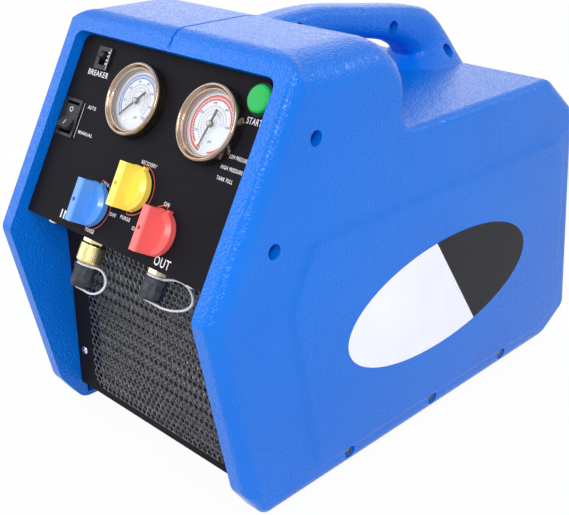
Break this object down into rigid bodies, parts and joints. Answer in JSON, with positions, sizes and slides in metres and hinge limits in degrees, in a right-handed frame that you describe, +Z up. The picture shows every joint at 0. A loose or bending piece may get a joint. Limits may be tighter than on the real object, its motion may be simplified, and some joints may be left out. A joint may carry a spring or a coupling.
{
  "type": "refrigerant recovery machine",
  "caption": "Portable refrigerant recovery machine: split moulded housing with carry handle, sloped panel with pressure gauges, valve knobs, switches, capped hose ports and a hex grille.",
  "frame": {"origin": "floor under the middle of the machine", "axes": "+X to the machine's right as seen from the front panel facing -Y, +Y to the rear, +Z up"},
  "size_m": [0.276, 0.509, 0.366],
  "materials": {
    "housing": "pebble-grained blue moulding",
    "screw": "zinc-plated",
    "tray": "dark painted sheet",
    "rubber": "moulded rubber",
    "panel": "satin black with white and red print",
    "grille": "black perforated sheet",
    "gauge_case": "warm polished steel",
    "dial": "printed dial",
    "lens": "clear window",
    "needle": "black",
    "knob_blue": "moulded blue",
    "knob_yellow": "moulded yellow",
    "knob_red": "moulded red",
    "steel": "turned steel",
    "brass": "turned brass",
    "cap": "dark moulded cap",
    "tether": "translucent strap",
    "button": "moulded green",
    "black_plastic": "black moulding",
    "fin": "thin fins",
    "copper": "drawn copper",
    "cast": "die-cast",
    "iron": "grey painted",
    "can": "white can"
  },
  "bodies": {
    "machine": {"housing_left": "housing", "housing_right": "housing", "housing_screws": "screw", "base_plate": "tray", "feet": "rubber", "control_panel": "panel", "panel_screws": "screw", "grille": "grille", "grille_screws": "screw", "gauge_case_low": "gauge_case", "gauge_dial_low": "dial", "gauge_lens_low": "lens", "gauge_case_high": "gauge_case", "gauge_dial_high": "dial", "gauge_lens_high": "lens", "inlet_valve": "brass", "mode_valve": "brass", "outlet_valve": "brass", "inlet_port": "brass", "inlet_filter": "brass", "outlet_port": "brass", "inlet_tether": "tether", "outlet_tether": "tether", "start_bezel": "black_plastic", "switch_frame": "black_plastic", "breaker_body": "black_plastic", "condenser_fins": "fin", "condenser_tubes": "copper", "fan_shroud": "black_plastic", "fan_motor": "cast", "compressor": "cast", "drive_motor": "iron", "capacitor": "can", "pressure_switch": "brass", "copper_lines": "copper", "power_inlet": "black_plastic"},
    "inlet_valve_knob": {"inlet_knob": "knob_blue", "inlet_stem": "steel"},
    "mode_valve_knob": {"mode_knob": "knob_yellow", "mode_stem": "steel"},
    "outlet_valve_knob": {"outlet_knob": "knob_red", "outlet_stem": "steel"},
    "low_needle": {"gauge_needle_low": "needle"},
    "high_needle": {"gauge_needle_high": "needle"},
    "start": {"start_button": "button"},
    "rocker": {"switch_rocker": "black_plastic"},
    "lever": {"breaker_lever": "black_plastic"},
    "inlet_cap_body": {"inlet_cap": "cap"},
    "outlet_cap_body": {"outlet_cap": "cap"},
    "cooling_fan": {"fan": "black_plastic"}
  },
  "joints": [
    {"name": "inlet_knob_turn", "type": "hinge", "parent": "machine", "child": "inlet_valve_knob", "pos_m": [-0.035, -0.22824, 0.23402], "axis": [0, -0.8796, 0.4756], "range_deg": [-180, 0]},
    {"name": "mode_knob_turn", "type": "hinge", "parent": "machine", "child": "mode_valve_knob", "pos_m": [0.0055, -0.21707, 0.2547], "axis": [0, -0.8796, 0.4756], "range_deg": [-180, 0]},
    {"name": "outlet_knob_turn", "type": "hinge", "parent": "machine", "child": "outlet_valve_knob", "pos_m": [0.046, -0.22824, 0.23402], "axis": [0, -0.8796, 0.4756], "range_deg": [0, 90]},
    {"name": "low_needle_turn", "type": "hinge", "parent": "machine", "child": "low_needle", "pos_m": [-0.023, -0.18592, 0.31061], "axis": [0, -0.8796, 0.4756], "range_deg": [-270, 0]},
    {"name": "high_needle_turn", "type": "hinge", "parent": "machine", "child": "high_needle", "pos_m": [0.063, -0.18592, 0.31061], "axis": [0, -0.8796, 0.4756], "range_deg": [-255, 0]},
    {"name": "start_press", "type": "slide", "parent": "machine", "child": "start", "axis": [0, -0.8796, 0.4756], "range_m": [-0.003, 0], "stiffness_N_per_m": 400, "springref_m": 0.002},
    {"name": "rocker_tilt", "type": "hinge", "parent": "machine", "child": "rocker", "pos_m": [-0.1, -0.1947, 0.28239], "axis": [1, 0, 0], "range_deg": [0, 26]},
    {"name": "breaker_throw", "type": "hinge", "parent": "machine", "child": "lever", "pos_m": [-0.0815, -0.16726, 0.32894], "axis": [1, 0, 0], "range_deg": [0, 32]},
    {"name": "inlet_cap_off", "type": "slide", "parent": "machine", "child": "inlet_cap_body", "axis": [0, -0.4756, -0.8796], "range_m": [0, 0.016], "deforming": ["inlet_tether"]},
    {"name": "outlet_cap_off", "type": "slide", "parent": "machine", "child": "outlet_cap_body", "axis": [0, -0.4756, -0.8796], "range_m": [0, 0.016], "deforming": ["outlet_tether"]},
    {"name": "fan_spin", "type": "hinge", "parent": "machine", "child": "cooling_fan", "pos_m": [0, -0.13988, 0.098], "axis": [0, 1, 0], "continuous": true}
  ]
}
